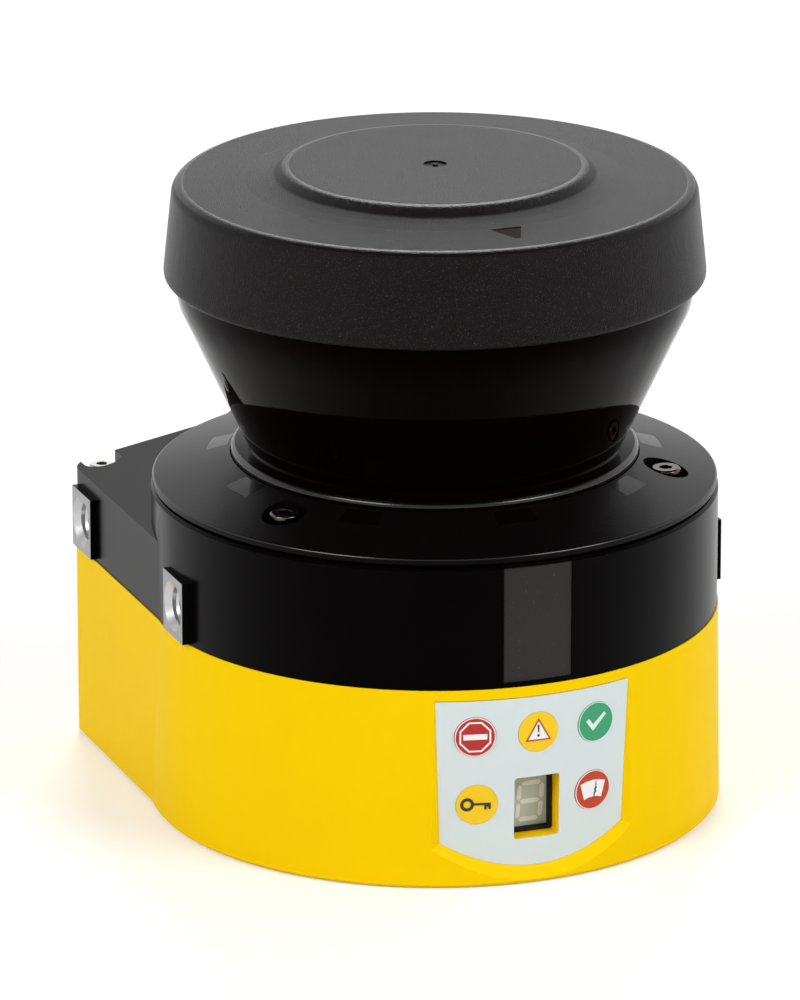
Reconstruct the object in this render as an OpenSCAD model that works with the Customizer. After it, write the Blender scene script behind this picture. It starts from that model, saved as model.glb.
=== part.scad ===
// Compact safety laser scanner.
// A yellow tub with a status panel carries a black cast frame. On the frame sit the
// conical optics cover, the optics window and the cap that holds the mirror motor.
// The origin is on the base plane under the scan axis, and the front faces -Y.

/* [Lower housing] */
// Radius of the round front at the foot
body_r = 51; // [49:0.5:54]
// How much narrower the round front is at its top edge, as a radius
body_draft = 0.6; // [0.2:0.1:1]
// How far the flat sides lie inside the round front at the foot
flat_in = 0.9; // [0.7:0.1:1.6]
// How far the rear face lies behind a full circle of the front's radius
rear_l = 3; // [2:0.5:8]
// Radius of the rear corners
corner_r = 4; // [3:0.5:6]
// Height of the lower housing
lower_h = 36; // [35:0.5:42]
// Wall thickness of the lower housing
wall = 2.8; // [2.4:0.1:3.2]
// Floor thickness of the lower housing
floor_t = 3; // [2.4:0.2:4]

/* [Upper frame] */
// Step from the lower housing in to the upper frame
collar_in = 0.2; // [0.1:0.1:0.5]
// Height of the round collar
collar_h = 22; // [21:0.5:28]
// Wall thickness of the upper frame
frame_wall = 3.5; // [3:0.25:4.5]
// Thickness of the ring flange that closes the collar
flange_t = 4; // [3.5:0.25:5]
// Height of the rear block at its side edges
shoulder_h = 14.3; // [13.5:0.1:15]
// Rise of the sloping shoulders towards the middle
shoulder_rise = 5.2; // [4:0.1:5.5]
// Width of the front inlay
inlay_w = 12.6; // [8:0.2:16]

/* [Mounting threads] */
// Core radius of the side threads
thread_r = 3.4; // [2.1:0.1:4.2]
// Depth of the side threads
thread_depth = 9; // [7:0.5:10]
// Distance between front and rear threads
thread_pitch = 50; // [48:0.5:50]
// Distance of the front threads behind the front half, negative towards the front
thread_front_y = -5; // [-6:0.5:-4]
// How far the machined faces stand proud of the collar
boss_proud = 0.8; // [0.5:0.1:1.5]

/* [Optics cover] */
// Thickness of the seal between collar and cover
cover_gap = 0.5; // [0.3:0.1:1]
// Height of the cover's rim
cover_rim = 1.4; // [1.2:0.1:2]
// Rise of the cone from the rim to the window
cover_rise = 3.9; // [3:0.1:5]
// Width of the ring that shows round the window
cover_w = 13.9; // [13.4:0.1:16]
// Radius of the screw pockets
pocket_r = 4; // [3.4:0.1:4.2]
// Radial length of the sensor windows
dirt_window_l = 4; // [3:0.2:5]

/* [Optics window] */
// Height of the foot above the cover
foot_step = 1.5; // [1:0.1:3]
// Step from the window's foot in to its neck
neck_in = 2.9; // [2:0.1:4]
// Height of the cone
cone_h = 25.9; // [24:0.1:32]
// Radius that the cone gains for each millimetre of height
cone_slope = 0.461; // [0.42:0.01:0.5]
// Wall thickness of the window
window_t = 2.3; // [1.8:0.1:2.8]

/* [Top cap] */
// Width of the cap's lip outside the window
lip_w = 1.65; // [1.2:0.05:3]
// Height of the cap's side
cap_h = 16.9; // [16.4:0.1:20]
// How much narrower the cap is below its top edge, as a radius
cap_taper = 1.4; // [0.5:0.1:2]
// Height of the round plateau
plateau_h = 2.9; // [2:0.1:4]
// Radius of the plateau's flat top
plateau_r = 26.8; // [24:0.1:30]

/* [Status panel] */
// Width of the panel recess on the outer surface
panel_w = 37.8; // [34:0.2:38.4]
// How much further in the film lies for each millimetre down
panel_lean = 0.026; // [0.01:0.002:0.05]
// Radius of the indicator lenses
lens_r = 3.65; // [2.8:0.05:3.8]
// Width of the display opening
display_w = 8.4; // [7:0.2:9.4]
// Height of the display opening
display_h = 11.4; // [9:0.2:11.6]

/* [Scanning optics] */
// Height of the scan plane above the neck
scan_rise = 14.3; // [14:0.1:17]
// Radius of the beam that the mirror covers
mirror_r = 15; // [12:0.5:15.5]
// Radius of the motor shaft
shaft_r = 1.5; // [1.2:0.1:2]
// Radial clearance of the shaft in its bearings
shaft_gap = 0.03; // [0.01:0.01:0.09]

/* [Connectors] */
// Distance of each connector from the middle
port_x = 13; // [12:0.5:16]
// Height of the connectors above the base
port_z = 18; // [15:0.5:19]
// Outer radius of the large connector
m12_r = 6; // [5.5:0.1:6.5]
// Outer radius of the small connector
m8_r = 4; // [3.6:0.1:4.5]

/* [Hidden] */
$fn = 96;

// Small sizes that several pieces share
eps = 0.01;          // overlap of a cut past a face
play = 0.05;         // clearance of pieces that are set into each other
edge = 0.5;          // broken outer edges

// Plan
rear_y = body_r + rear_l;
flat_x = body_r - flat_in;
collar_r = body_r - body_draft - collar_in;
frame_flat_x = flat_x - collar_in;
frame_rear_y = rear_y - collar_in;
boss_x = collar_r + boss_proud;
rear_screw_x = flat_x - 5.2;
rear_screw_y = rear_y - 2.8;
notch_r = 3.4;
pillar_r = 4;
pillar_circle = body_r - 10;
pillar_angle = 50;

// Heights
joint_z = lower_h;
collar_z = joint_z + collar_h;
flange_z = collar_z - flange_t;
cover_z = collar_z + cover_gap;
rim_z = cover_z + cover_rim;
cone_top_z = rim_z + cover_rise;
foot_z = cone_top_z + foot_step;
neck_z = foot_z + 0.4;
band_z = neck_z + cone_h;
lip_z = band_z + 4.6;
window_top = lip_z + 1.4;
plate_z = window_top + 1;
cap_z = lip_z + cap_h;
top_z = cap_z + plateau_h;
scan_z = neck_z + scan_rise;

// Radii of cover, window and cap
cover_r = collar_r - 0.2;
foot_r = cover_r - cover_w;
neck_r = foot_r - neck_in;
screw_circle = foot_r + pocket_r + 1.1;
cover_hole_r = foot_r + 0.15;
tongue_r = foot_r + 1.2;
flange_hole_r = foot_r - 6;
band_r = neck_r + cone_slope * cone_h;
band_top_r = band_r + 0.85;
cap_r = band_top_r + lip_w;
cap_inner_r = band_top_r - 2.5;
plate_screw_r = cap_inner_r - 5;
chassis_screw_r = flange_hole_r + 2.5;
cover_slope = cover_rise / (cover_r - edge - cover_hole_r);
function cover_top(r) = rim_z + (cover_r - edge - r) * cover_slope;
sensor_top = cover_top(tongue_r + 3.7) - 1.3;

// Status panel: the film lies on a cone that narrows downwards
panel_top = lower_h - 1.9;
panel_bevel = 1.4;   // rise of the recess's lower wall for each millimetre of depth
panel_flare = 2.6;   // sideways run of its side walls for each millimetre of depth
function outer_r(z) = body_r - body_draft * z / lower_h;
function panel_r(z) = outer_r(panel_top) - 0.35 - (panel_top - z) * panel_lean;
film_t = 0.25;
lens_t = 0.8;
lens_angle_1 = 12.9;
lens_angle_2 = 12.5;
lens_row_1 = lower_h - 8.6;
lens_row_2 = lower_h - 21.15;
display_z = lower_h - 22.5;
pad_y = body_r - 7;
face_y = pad_y + 0.95;
board_y = pad_y - 3.4;
board_t = 1.6;

// Heights inside the lower housing
pillar_z = floor_t + 5;
main_z = floor_t + 8;
power_z = main_z + 9;
detector_z = max(flange_z - 26, power_z + board_t + 5);

// Connector recess at the back
recess_d = 9;
recess_w = 56;
recess_z0 = 5;
recess_z1 = 31;
recess_y = rear_y - recess_d;

// Rotor
tube_r = 5;
bearing_r = shaft_r * 2;
bearing_w = 2.5;
tube_z0 = plate_z - 4;
tube_z1 = plate_z + 9.5;
stator_z = plate_z + 4.2;
bell_r = 17;
disc_r = 26;
disc_z = tube_z0 - 1;
carrier_z1 = disc_z - 0.8;

// Points of an arc about (x, y), for profiles
function arc(x, y, r, a0, a1, n = 6) =
    [for (i = [0:n]) let (a = a0 + (a1 - a0) * i / n) [x + r * cos(a), y + r * sin(a)]];

// Copies at angles round the scan axis, counted from the front
module at_angles(angles) {
    for (a = angles) rotate([0, 0, a]) children();
}

module mirrored() {
    children();
    mirror([1, 0, 0]) children();
}

// Upright prism from the scan axis to the rear face, with round rear corners
module rear_prism(half, back, r, z0, z1) {
    translate([-half, 0, z0]) cube([2 * half, back - r, z1 - z0]);
    translate([-half + r, 0, z0]) cube([2 * half - 2 * r, back, z1 - z0]);
    for (s = [-1, 1]) translate([s * (half - r), back - r, z0]) cylinder(r = r, h = z1 - z0);
}

// D-shaped solid that follows the top edge of the lower housing at a distance
module d_solid(inset, z0, z1) {
    translate([0, 0, z0]) cylinder(r = body_r - body_draft - inset, h = z1 - z0);
    rear_prism(flat_x - inset, rear_y - inset, max(corner_r - inset, 1), z0, z1);
}

// Ring with a square section
module ring(r_out, r_in, z0, z1) {
    translate([0, 0, z0]) difference() {
        cylinder(r = r_out, h = z1 - z0);
        translate([0, 0, -1]) cylinder(r = r_in, h = z1 - z0 + 2);
    }
}

// Upright bar with a rounded rectangular section
module rounded_bar(w, d, r, h) {
    translate([-w / 2 + r, -d / 2, 0]) cube([w - 2 * r, d, h]);
    translate([-w / 2, -d / 2 + r, 0]) cube([w, d - 2 * r, h]);
    for (x = [-1, 1], y = [-1, 1])
        translate([x * (w / 2 - r), y * (d / 2 - r), 0]) cylinder(r = r, h = h, $fn = 24);
}

// Socket-head cap screw with its head on top of z = 0
module cap_screw(head_r, head_h, shank_r, shank_l, hex_r) {
    difference() {
        union() {
            cylinder(r = head_r, h = head_h - 0.3, $fn = 48);
            translate([0, 0, head_h - 0.3]) cylinder(r1 = head_r, r2 = head_r - 0.3, h = 0.3, $fn = 48);
            translate([0, 0, -shank_l]) cylinder(r = shank_r, h = shank_l + eps, $fn = 48);
        }
        translate([0, 0, head_h * 0.4]) cylinder(r = hex_r, h = head_h, $fn = 6);
    }
}

// ---- Lower housing -------------------------------------------------------

// Outer form: a drafted round front, flat sides and a broken bottom edge
module lower_outer() {
    cylinder(r1 = body_r - edge, r2 = body_r, h = edge);
    translate([0, 0, edge]) cylinder(r1 = body_r, r2 = body_r - body_draft, h = lower_h - edge);
    rear_prism(flat_x - edge, rear_y - edge, corner_r - edge, 0, edge);
    rear_prism(flat_x, rear_y, corner_r, edge, lower_h);
}

// Space of the panel recess: inclined side walls, an inclined bottom wall and a conical back
module panel_space(c) {
    x = panel_w / 2 - c;
    y = sqrt(body_r * body_r - panel_w * panel_w / 4);
    arch_r = 142.5 - c;
    out = 1.3 * panel_flare;
    in = 1.6 * panel_flare;
    intersection() {
        translate([0, 0, -1]) linear_extrude(height = panel_top - c + 1)
            polygon([[-x - out, -y - 1.3], [-x + in, -y + 1.6], [x - in, -y + 1.6],
                [x + out, -y - 1.3], [x + out, -body_r - 9], [-x - out, -body_r - 9]]);
        translate([0, -body_r - 9, 143.1]) rotate([-90, 0, 0])
            cylinder(r1 = arch_r + 9 * panel_bevel, r2 = arch_r - 7 * panel_bevel, h = 16);
        difference() {
            translate([0, 0, -1]) cylinder(r = body_r + 20, h = lower_h + 1);
            translate([0, 0, -2]) cylinder(r1 = panel_r(-2), r2 = panel_r(lower_h + 2), h = lower_h + 4);
        }
    }
}

// Frame of a lens on the panel: local z points out of the film's surface
module on_panel(angle, z) {
    rotate([0, 0, angle]) translate([0, -panel_r(z) - film_t, z])
        rotate([90 + atan(panel_lean), 0, 0]) children();
}

module each_lens() {
    on_panel(-lens_angle_1, lens_row_1) children();
    on_panel(0, lens_row_1) children();
    on_panel(lens_angle_1, lens_row_1) children();
    on_panel(-lens_angle_2, lens_row_2) children();
    on_panel(lens_angle_2, lens_row_2) children();
}

module display_opening(extra, depth_y0, depth_y1) {
    translate([0, -depth_y0, display_z]) rotate([-90, 0, 0])
        rounded_bar(display_w + extra, display_h + extra, 0.6, depth_y0 - depth_y1);
}

module lower_housing() {
    color([0.96, 0.8, 0.02]) difference() {
        lower_outer();
        // cavity, less everything that is cast on to floor and walls
        difference() {
            d_solid(wall, floor_t, lower_h + 1);
            translate([-22, -body_r, 0]) cube([44, body_r - pad_y, lower_h + 2]);
            translate([-recess_w / 2 - wall, recess_y - wall, 0])
                cube([recess_w + 2 * wall, 60, recess_z1 + wall]);
            mirrored() {
                translate([rear_screw_x, rear_screw_y, 0]) cylinder(r = 5, h = lower_h + 2);
                at_angles([pillar_angle]) translate([0, -pillar_circle, 0]) cylinder(r = 5, h = pillar_z);
                for (z = [display_z - 5.6, lower_h - 6])
                    translate([16.6, -pad_y - 1, z]) rotate([-90, 0, 0])
                        cylinder(r = 2, h = pad_y + 1 - board_y, $fn = 32);
            }
        }
        // rebate for the gasket
        d_solid(1, lower_h - 0.8, lower_h + 1);
        panel_space(0);
        each_lens() {
            translate([0, 0, -lens_t - play]) cylinder(r = lens_r + play, h = 5);
            translate([0, 0, -8]) cylinder(r = lens_r - 1, h = 8);
        }
        display_opening(0, body_r + 5, pad_y - 1);
        translate([-6.05, -pad_y - 0.95, display_z - 6.25]) cube([12.1, 2, 12.5]);
        // connector recess and its holes
        translate([-recess_w / 2, recess_y, recess_z0]) cube([recess_w, 20, recess_z1 - recess_z0]);
        at_m12() translate([0, 0, -wall - 1]) cylinder(r = m12_r + play, h = 9);
        at_m8() translate([0, 0, -wall - 1]) cylinder(r = m8_r + play, h = 9);
        mirrored() {
            // threaded core for the rear screws
            translate([rear_screw_x, rear_screw_y, lower_h - 12]) cylinder(r = 1.1, h = 14, $fn = 32);
            // counterbore and clearance hole of the base screws
            rotate([0, 0, pillar_angle]) translate([0, -pillar_circle, -1]) {
                cylinder(r = 3.2, h = 4.6, $fn = 48);
                cylinder(r = 1.7, h = 12, $fn = 48);
            }
        }
    }
}

module housing_gasket() {
    color([0.08, 0.08, 0.08]) difference() {
        d_solid(1.1, lower_h - 0.8, lower_h);
        // the inside, less an eyelet round each rear screw
        difference() {
            d_solid(wall - 0.3, lower_h - 2, lower_h + 2);
            mirrored() translate([rear_screw_x, rear_screw_y, 0])
                cylinder(r = 2.9, h = lower_h + 4, $fn = 48);
        }
        mirrored() translate([rear_screw_x, rear_screw_y, 0]) cylinder(r = 1.4, h = lower_h + 4, $fn = 48);
    }
}

// ---- Upper frame ---------------------------------------------------------

// Cross-section of the rear block: sloping shoulders and a flat crest
module block_profile(drop) {
    crest = min(shoulder_h + shoulder_rise + 2, collar_h - 0.4);
    half = [[frame_flat_x + 1, shoulder_h], [22, shoulder_h + shoulder_rise], [18, crest]];
    polygon(concat([for (p = half) [p[0], joint_z + p[1] - drop]],
        [for (i = [2:-1:0]) [-half[i][0], joint_z + half[i][1] - drop]],
        [[-frame_flat_x - 1, joint_z], [frame_flat_x + 1, joint_z]]));
}

module block_solid(inset) {
    intersection() {
        rear_prism(frame_flat_x - inset, frame_rear_y - inset, max(corner_r - inset, 1), joint_z, collar_z);
        translate([0, rear_y + 5, 0]) rotate([90, 0, 0])
            linear_extrude(height = rear_y + 10) block_profile(inset);
    }
}

module each_boss() {
    for (y = [thread_front_y, thread_front_y + thread_pitch]) translate([0, y, joint_z + 6]) children();
}

module boss_blocks() {
    boss_w = 10;
    mirrored() each_boss()
        translate([boss_x - thread_depth - 3, -boss_w / 2, -5.6]) cube([thread_depth + 3, boss_w, 11.2]);
}

module upper_frame() {
    color([0.09, 0.085, 0.085]) difference() {
        union() {
            translate([0, 0, joint_z]) cylinder(r = collar_r, h = collar_h - edge);
            translate([0, 0, collar_z - edge]) cylinder(r1 = collar_r, r2 = collar_r - edge, h = edge);
            block_solid(0);
            boss_blocks();
        }
        // cavity, less bosses and pillars
        difference() {
            union() {
                translate([0, 0, joint_z - 1])
                    cylinder(r = collar_r - frame_wall, h = flange_z - joint_z + 1);
                block_solid(frame_wall);
                translate([0, 0, -1]) rear_prism(frame_flat_x - frame_wall, frame_rear_y - frame_wall,
                    max(corner_r - frame_wall, 1), joint_z, joint_z + 2);
            }
            boss_blocks();
            mirrored() {
                translate([rear_screw_x, rear_screw_y, joint_z - 2]) cylinder(r = 5, h = 30);
                at_angles([pillar_angle]) translate([0, -pillar_circle, joint_z - 2])
                    cylinder(r = pillar_r, h = 30);
            }
        }
        translate([0, 0, flange_z - 1]) cylinder(r = flange_hole_r, h = flange_t + 2);
        // side threads with countersinks
        mirrored() each_boss() rotate([0, 90, 0]) {
            translate([0, 0, boss_x - thread_depth]) cylinder(r = thread_r, h = thread_depth + 1);
            translate([0, 0, boss_x - 1.1]) cylinder(r1 = thread_r, r2 = thread_r + 1.2, h = 1.2);
        }
        // screw notches of the rear block
        mirrored() translate([rear_screw_x, rear_screw_y, 0]) {
            translate([0, 0, joint_z + 12.1]) cylinder(r = notch_r, h = 20);
            translate([-notch_r, 0, joint_z + 12.1]) cube([2 * notch_r, 10, 20]);
            translate([0, 0, joint_z - 3]) cylinder(r = 1.4, h = 20, $fn = 48);
        }
        // recess for the front inlay, open at the top
        difference() {
            translate([-inlay_w / 2, -collar_r - 5, joint_z + 0.9]) cube([inlay_w, 20, collar_h]);
            translate([0, 0, joint_z]) cylinder(r = collar_r - 0.7, h = collar_h + 2);
        }
        // threads for cover screws and chassis screws
        at_angles([-60, 60, 180]) translate([0, -screw_circle, flange_z - 1])
            cylinder(r = 1.25, h = 9, $fn = 32);
        at_angles([0, 120, 240]) translate([0, -chassis_screw_r, flange_z - 1])
            cylinder(r = 1.25, h = 4, $fn = 32);
    }
    // pillars that reach down into the lower housing
    color([0.09, 0.085, 0.085]) mirrored() at_angles([pillar_angle]) translate([0, -pillar_circle, 0])
        difference() {
            translate([0, 0, pillar_z]) cylinder(r = pillar_r, h = flange_z - pillar_z + eps);
            translate([0, 0, pillar_z - 1]) cylinder(r = 1.25, h = 10, $fn = 32);
        }
}

module front_inlay() {
    color([0.16, 0.155, 0.16]) intersection() {
        ring(collar_r - 0.25, collar_r - 0.68, joint_z + 0.92, collar_z - edge);
        translate([-inlay_w / 2 + play, -collar_r - 5, 0]) cube([inlay_w - 2 * play, 20, 100]);
    }
}

// ---- Optics cover --------------------------------------------------------

module optics_cover() {
    profile = concat(
        [[cover_hole_r, cover_z + 2], [cover_hole_r, cone_top_z]],
        arc(cover_r - edge, rim_z - edge, edge, 90 - atan(cover_slope), 0, 5),
        [[cover_r, cover_z + 0.3], [cover_r - 0.3, cover_z], [tongue_r + play, cover_z],
            [tongue_r + play, cover_z + 2]]);
    color([0.1, 0.095, 0.095]) difference() {
        rotate_extrude($fn = 180) polygon(profile);
        at_angles([-60, 60, 180]) translate([0, -screw_circle, 0]) {
            translate([0, 0, cover_z + 0.9]) cylinder(r = pocket_r, h = 10, $fn = 64);
            translate([0, 0, cover_z - 1]) cylinder(r = 1.7, h = 5, $fn = 48);
        }
        at_angles([-120:40:120]) {
            dirt_window_solid(play, 0.8, 3);
            translate([-1.6, -tongue_r - 3.6, cover_z - 1])
                cube([3.2, 3.2, sensor_top + 0.1 - cover_z + 1]);
        }
    }
}

// One sensor window: a slice of a conical shell under the cover's surface
module dirt_window_solid(grow, depth, above) {
    r0 = cover_hole_r + 0.45 - grow;
    r1 = r0 + dirt_window_l + 2 * grow;
    rotate([0, 0, -95.2 - grow]) rotate_extrude(angle = 10.4 + 2 * grow, $fn = 180)
        polygon([[r0, cover_top(r0) - depth], [r1, cover_top(r1) - depth],
            [r1, cover_top(r1) + above], [r0, cover_top(r0) + above]]);
}

module dirt_windows() {
    color([0.03, 0.03, 0.035]) at_angles([-120:40:120]) dirt_window_solid(0, 0.8 - play, 0);
}

module dirt_sensors() {
    color([0.2, 0.2, 0.22]) at_angles([-120:40:120])
        translate([-1.5, -tongue_r - 3.5, collar_z]) cube([3, 3, sensor_top - collar_z]);
}

module cover_gasket() {
    color([0.05, 0.05, 0.05]) ring(cover_r - 2, cover_r - 4, collar_z, cover_z);
}

module cover_screws() {
    head_h = cover_top(screw_circle) - cover_z - 0.8;
    color([0.62, 0.6, 0.58]) at_angles([-60, 60, 180]) translate([0, -screw_circle, cover_z + 0.9])
        cap_screw(2.65, head_h, 1.25 - 0.01, flange_t + 0.5, 1.25);
}

module rear_screws() {
    color([0.75, 0.75, 0.75]) mirrored() translate([rear_screw_x, rear_screw_y, joint_z + 12.1])
        cap_screw(2.25, 2.5, 1.08, 20, 1.1);
}

module plate_screws() {
    color([0.6, 0.6, 0.6]) at_angles([60, 180, 300]) translate([0, -plate_screw_r, plate_z])
        rotate([180, 0, 0]) cap_screw(2.2, 2, 1.24, 8, 1);
}

module chassis_screws() {
    color([0.6, 0.6, 0.6]) at_angles([0, 120, 240]) translate([0, -chassis_screw_r, flange_z - 2.6])
        rotate([180, 0, 0]) cap_screw(2.2, 2, 1.24, 5.4, 1);
}

module base_screws() {
    color([0.6, 0.6, 0.6]) mirrored() rotate([0, 0, pillar_angle]) translate([0, -pillar_circle, 3.6])
        rotate([180, 0, 0]) cap_screw(2.8, 2.6, 1.24, 10, 1.25);
}

// ---- Optics window -------------------------------------------------------

module optics_window() {
    t = window_t;
    profile = concat(
        [[foot_r - 5, cover_z + 0.1], [tongue_r, cover_z + 0.1], [tongue_r, cover_z + 1.9],
            [foot_r, cover_z + 1.9]],
        arc(foot_r - 0.3, foot_z - 0.3, 0.3, 0, 80, 3),
        [[neck_r + 1.1, neck_z - 0.2], [neck_r + 0.35, neck_z + 0.1], [neck_r + 0.25, neck_z + 0.6]],
        [[band_r, band_z], [band_top_r, lip_z], [band_top_r, window_top], [band_top_r - t, window_top],
            [band_r - t, band_z], [neck_r - t, neck_z + 0.6], [foot_r - 5, foot_z - 3]]);
    color([0.02, 0.018, 0.02]) rotate_extrude($fn = 180) polygon(profile);
}

module window_seal() {
    color([0.05, 0.05, 0.05]) ring(foot_r - 0.6, foot_r - 3.6, collar_z, cover_z + 0.1);
}

// ---- Top cap -------------------------------------------------------------

module top_cap() {
    fillet = 2.2;
    top_r = cap_r - cap_taper;
    foot = plateau_r + 3;
    outline = concat(
        [[0, top_z], [plateau_r - 0.6, top_z]],
        arc(plateau_r - 0.6, top_z - 1.2, 1.2, 90, 42, 4),
        [[foot - 0.9, cap_z + 0.5], [foot - 0.2, cap_z + 0.12], [foot + 0.6, cap_z]],
        arc(top_r - fillet, cap_z - fillet, fillet, 88, 4, 8),
        [[cap_r, lip_z + 1.4]],
        arc(cap_r - 0.9, lip_z + 0.9, 0.9, 0, -75, 5),
        [[band_top_r + 0.1, lip_z], [band_top_r + 0.1, window_top + 0.6], [cap_inner_r, window_top + 0.6],
            [cap_inner_r, cap_z - 3.4], [plateau_r - 1, cap_z - 3.4], [plateau_r - 1, top_z - 3.2],
            [0, top_z - 3.2]]);
    color([0.1, 0.09, 0.09]) difference() {
        rotate_extrude($fn = 180) polygon(outline);
        // gate mark: a shallow round recess with a pip
        ring(2.05, 0.5, top_z - 0.35, top_z + 1);
        // axis mark of the scanning field
        translate([0, -plateau_r - 7.2, cap_z - 0.3]) linear_extrude(height = 2)
            polygon([[-2.9, 0.3], [2.9, 0.3], [0.5, -5.6], [-0.5, -5.6]]);
    }
    // bosses for the motor plate
    color([0.1, 0.09, 0.09]) at_angles([60, 180, 300]) translate([0, -plate_screw_r, 0]) difference() {
        translate([0, 0, plate_z + 2.5]) cylinder(r = 3.4, h = cap_z - 3.4 - plate_z - 2.5 + eps, $fn = 48);
        translate([0, 0, plate_z]) cylinder(r = 1.25, h = 9, $fn = 48);
    }
}

module cap_gasket() {
    color([0.05, 0.05, 0.05]) ring(band_top_r - 0.4, band_top_r - 2, window_top, window_top + 0.6);
}

// ---- Status panel --------------------------------------------------------

module panel_film() {
    color([0.85, 0.87, 0.86]) difference() {
        intersection() {
            panel_space(0.12);
            translate([0, 0, -2]) cylinder(r1 = panel_r(-2) + film_t, r2 = panel_r(lower_h + 2) + film_t,
                h = lower_h + 4);
        }
        each_lens() translate([0, 0, -3]) cylinder(r = lens_r + play, h = 6);
        display_opening(0, body_r + 5, pad_y - 1);
    }
}

module lens() {
    translate([0, 0, -lens_t]) cylinder(r = lens_r, h = lens_t + 0.03);
}

module stop_lens() { color([0.78, 0.12, 0.12]) on_panel(-lens_angle_1, lens_row_1) lens(); }
module warning_lens() { color([0.98, 0.76, 0.05]) on_panel(0, lens_row_1) lens(); }
module clear_lens() { color([0.15, 0.6, 0.38]) on_panel(lens_angle_1, lens_row_1) lens(); }
module restart_lens() { color([0.98, 0.76, 0.05]) on_panel(-lens_angle_2, lens_row_2) lens(); }
module service_lens() { color([0.8, 0.25, 0.12]) on_panel(lens_angle_2, lens_row_2) lens(); }

module display_module() {
    color([0.4, 0.41, 0.4]) translate([-6, -face_y, display_z - 6.2]) cube([12, face_y - board_y, 12.4]);
}

module light_guides() {
    color([0.85, 0.9, 0.92]) each_lens() translate([0, 0, -6]) cylinder(r = lens_r - 1.1, h = 6 - lens_t);
}

module status_board() {
    color([0.05, 0.35, 0.2])
        translate([-panel_w / 2 - 1, -board_y, floor_t + 3])
            cube([panel_w + 2, board_t, lower_h - floor_t - 6]);
}

module status_leds() {
    x1 = panel_r(lens_row_1) * sin(lens_angle_1) - 1.6;
    x2 = panel_r(lens_row_2) * sin(lens_angle_2) - 1.6;
    color([0.95, 0.95, 0.9]) for (p = [[-x1, lens_row_1], [0, lens_row_1], [x1, lens_row_1],
        [-x2, lens_row_2], [x2, lens_row_2]])
        translate([p[0] - 1.5, -board_y - 1, p[1] - 1.9]) cube([3, 1, 3]);
}

// ---- Motor and rotor -----------------------------------------------------

module motor_plate() {
    color([0.7, 0.7, 0.72]) difference() {
        union() {
            translate([0, 0, plate_z]) cylinder(r = cap_inner_r - 0.3, h = 2.5);
            translate([0, 0, tube_z0]) cylinder(r = tube_r, h = tube_z1 - tube_z0);
        }
        translate([0, 0, tube_z0 - 1]) cylinder(r = bearing_r - 0.5, h = tube_z1 - tube_z0 + 2);
        translate([0, 0, tube_z0 - 1]) cylinder(r = bearing_r + 0.01, h = bearing_w + 1);
        translate([0, 0, tube_z1 - bearing_w]) cylinder(r = bearing_r + 0.01, h = bearing_w + 1);
        // openings between the ribs of the plate
        at_angles([0, 120, 240]) translate([0, -26, plate_z - 1]) cylinder(r = 8, h = 6);
        at_angles([60, 180, 300]) translate([0, -plate_screw_r, plate_z - 1])
            cylinder(r = 1.5, h = 6, $fn = 48);
    }
}

module motor_bearings() {
    color([0.8, 0.8, 0.82]) for (z = [tube_z0, tube_z1 - bearing_w])
        ring(bearing_r, shaft_r, z, z + bearing_w);
}

module motor_stator() {
    color([0.45, 0.45, 0.48]) translate([0, 0, stator_z]) difference() {
        union() {
            cylinder(r = tube_r + 3, h = 4);
            for (i = [0:8]) rotate([0, 0, i * 40]) {
                translate([-1, -13, 0]) cube([2, 6, 4]);
                translate([-2.6, -13.6, 0]) cube([5.2, 1.4, 4]);
            }
        }
        translate([0, 0, -1]) cylinder(r = tube_r + 0.01, h = 6);
    }
}

module motor_coils() {
    color([0.72, 0.42, 0.18]) translate([0, 0, stator_z]) for (i = [0:8]) rotate([0, 0, i * 40])
        difference() {
            translate([-1.75, -11.8, -0.8]) cube([3.5, 3.4, 5.6]);
            translate([-1, -12, 0]) cube([2, 4, 4]);
        }
}

module motor_shaft() {
    color([0.85, 0.85, 0.86]) translate([0, 0, carrier_z1 - 8])
        cylinder(r = shaft_r - shaft_gap, h = tube_z1 + 1.9 - carrier_z1 + 8);
}

module rotor_bell() {
    z = tube_z1 + 0.6;
    color([0.6, 0.6, 0.62]) difference() {
        translate([0, 0, stator_z - 0.6]) cylinder(r = bell_r, h = z + 1.3 - stator_z + 0.6);
        translate([0, 0, stator_z - 1.6]) cylinder(r = bell_r - 1.2, h = z - stator_z + 1.6);
        translate([0, 0, stator_z]) cylinder(r = shaft_r - shaft_gap, h = 20);
    }
}

module rotor_magnet() {
    color([0.25, 0.25, 0.27]) ring(bell_r - 1.2, bell_r - 2.8, stator_z - 0.2, stator_z + 4.6);
}

// Everything behind the mirror plane
module behind_mirror(offset) {
    translate([0, 0, scan_z]) rotate([-45, 0, 0]) translate([-40, -60, offset]) cube([80, 120, 80]);
}

module mirror_carrier() {
    color([0.3, 0.3, 0.32]) difference() {
        union() {
            intersection() {
                translate([0, 0, scan_z - mirror_r - 1])
                    cylinder(r = mirror_r + 1.2, h = carrier_z1 - scan_z + mirror_r + 1);
                behind_mirror(2.02);
            }
            translate([0, 0, carrier_z1]) cylinder(r = 7, h = disc_z - carrier_z1);
        }
        translate([0, 0, carrier_z1 - 8]) cylinder(r = shaft_r - shaft_gap, h = 20);
    }
}

module scan_mirror() {
    color([0.9, 0.92, 0.95]) intersection() {
        translate([0, 0, scan_z - mirror_r - 6])
            cylinder(r = mirror_r, h = carrier_z1 - 0.6 - scan_z + mirror_r + 6);
        difference() {
            behind_mirror(0);
            behind_mirror(2);
        }
    }
}

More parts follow.
